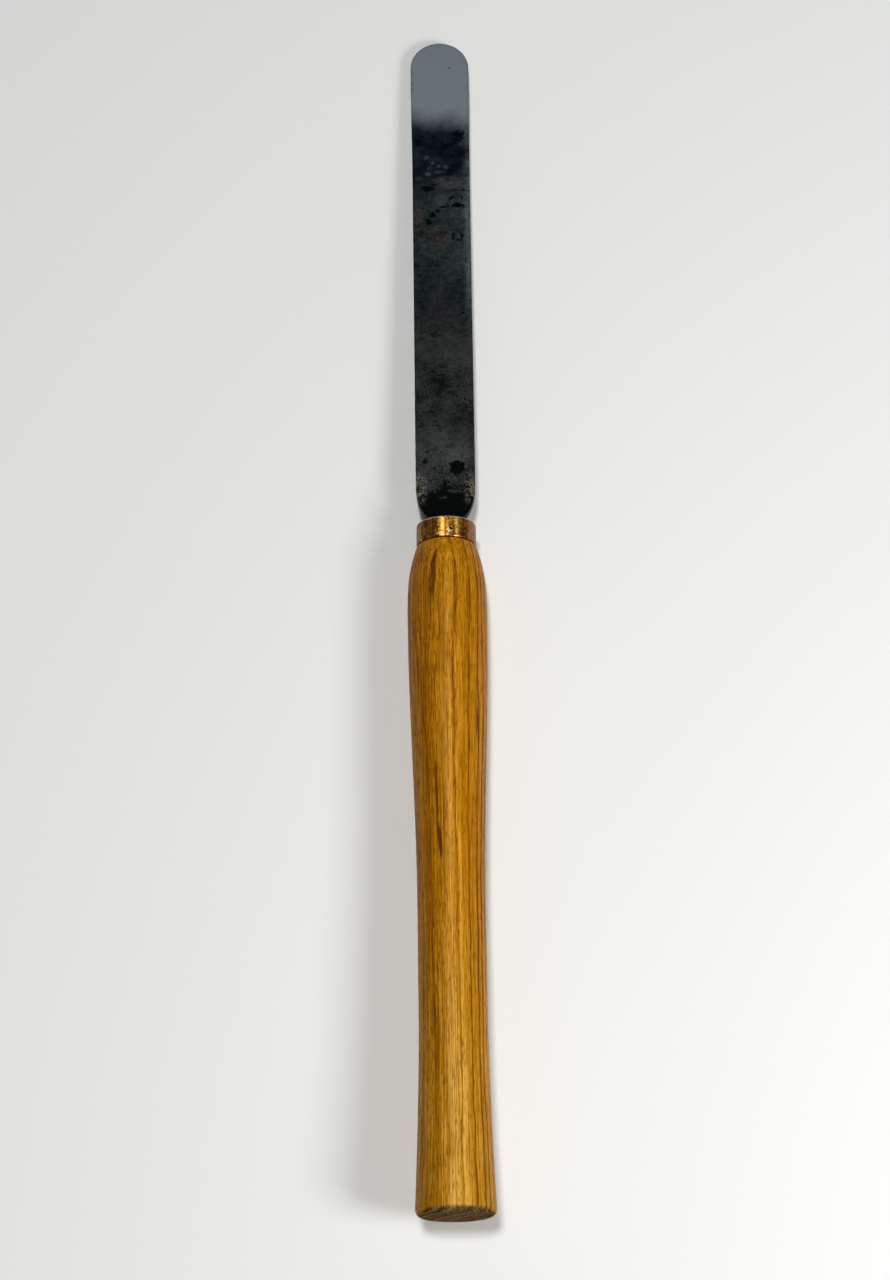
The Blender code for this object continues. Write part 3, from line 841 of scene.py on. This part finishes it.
# The bench top and the light
# A plain pale bench under a soft lamp on the right and a soft light from above, in a pale room.
# A bright window in the room, ahead of the tool and to its right, shows in the metal.
FLOOR_SIZE = 24
FLOOR_SQUARES = 8
FLOOR_COLOUR = (0.89, 0.895, 0.87, 1)
FLOOR_ROUGHNESS = 0.9
WALL_COLOUR = (0.66, 0.67, 0.67, 1)
CEILING_COLOUR = (0.27, 0.285, 0.295, 1)
WALL_TO_CEILING = (0.05, 0.85)
SHADE_COLOUR = (0.10, 0.105, 0.11, 1)
WINDOW_COLOUR = (1, 1, 1, 1)
WINDOW_FROM = Vector((0.60, 0.42, 0.68)).normalized()
WINDOW_REACH = (math.cos(math.radians(11)), math.cos(math.radians(6)))
SIDE_LAMP_PLACE = Vector((0.46, -0.32, 0.53))
SIDE_LAMP_SIZE = 0.27
SIDE_LAMP_POWER = 2.6
TOP_LIGHT_FROM = Vector((-0.08, 0.114, 1))
TOP_LIGHT_STRENGTH = 1.6
TOP_LIGHT_SPREAD = math.radians(8)

floor_shape = bmesh.new()
bmesh.ops.create_grid(
    floor_shape, x_segments=FLOOR_SQUARES, y_segments=FLOOR_SQUARES, size=FLOOR_SIZE / 2)
floor_mesh = bpy.data.meshes.new("bench_top")
floor_shape.to_mesh(floor_mesh)
floor_shape.free()
pale_bench = bpy.data.materials.new("pale_bench")
pale_bench.use_nodes = True
plug_in(
    pale_bench.node_tree.nodes["Principled BSDF"], Base_Color=FLOOR_COLOUR, Roughness=FLOOR_ROUGHNESS)
floor_mesh.materials.append(pale_bench)
floor = bpy.data.objects.new("bench_top", floor_mesh)
bpy.context.scene.collection.objects.link(floor)

room = bpy.data.worlds.new("pale_room")
room.use_nodes = True
bpy.context.scene.world = room
ray = Shade(room.node_tree)
seen = ray.node("LightPath", {}, {}, output="Is Camera Ray")
mirrored = ray.node("LightPath", {}, {}, output="Is Glossy Ray")
through = ray.node("LightPath", {}, {}, output="Is Transmission Ray")
look = ray.node("TexCoord", {}, {}, output="Generated")
walls_and_ceiling = look.axes()[2].rise(*WALL_TO_CEILING).blend(WALL_COLOUR, CEILING_COLOUR)
window = look.node(
    "VectorMath", {"operation": "DOT_PRODUCT"}, {0: look, 1: WINDOW_FROM}, output="Value")
room_seen = window.rise(*WINDOW_REACH).blend(walls_and_ceiling, WINDOW_COLOUR)
room_light = (seen + mirrored + through).blend(SHADE_COLOUR, room_seen)
plug_in(room.node_tree.nodes["Background"], Color=room_light)

side_lamp = bpy.data.lights.new("side_lamp", "AREA")
side_lamp.shape = "DISK"
side_lamp.size = SIDE_LAMP_SIZE
side_lamp.energy = SIDE_LAMP_POWER
side_lamp_stand = bpy.data.objects.new("side_lamp", side_lamp)
side_lamp_stand.location = SIDE_LAMP_PLACE
side_lamp_stand.rotation_euler = (-SIDE_LAMP_PLACE).to_track_quat("-Z", "Y").to_euler()
bpy.context.scene.collection.objects.link(side_lamp_stand)

top_light = bpy.data.lights.new("top_light", "SUN")
top_light.energy = TOP_LIGHT_STRENGTH
top_light.angle = TOP_LIGHT_SPREAD
top_light_stand = bpy.data.objects.new("top_light", top_light)
top_light_stand.rotation_euler = (-TOP_LIGHT_FROM).to_track_quat("-Z", "Y").to_euler()
bpy.context.scene.collection.objects.link(top_light_stand)

# The camera
# It looks steeply down from the butt end, with the whole tool upright in the frame.
CAMERA_AIM = Vector((-0.0009, -0.0184, 0.013))
CAMERA_AZIMUTH = math.radians(0.768)
CAMERA_ELEVATION = math.radians(72.687)
CAMERA_DISTANCE = 0.9148
CAMERA_LENS = 78.40

view_line = Vector((
    math.sin(CAMERA_AZIMUTH) * math.cos(CAMERA_ELEVATION),
    math.cos(CAMERA_AZIMUTH) * math.cos(CAMERA_ELEVATION),
    -math.sin(CAMERA_ELEVATION)))
camera = bpy.data.cameras.new("camera")
camera.lens = CAMERA_LENS
camera_stand = bpy.data.objects.new("camera", camera)
camera_stand.location = CAMERA_AIM - view_line * CAMERA_DISTANCE
camera_stand.rotation_euler = view_line.to_track_quat("-Z", "Y").to_euler()
bpy.context.scene.collection.objects.link(camera_stand)
bpy.context.scene.camera = camera_stand
bpy.context.scene.view_settings.view_transform = "Standard"
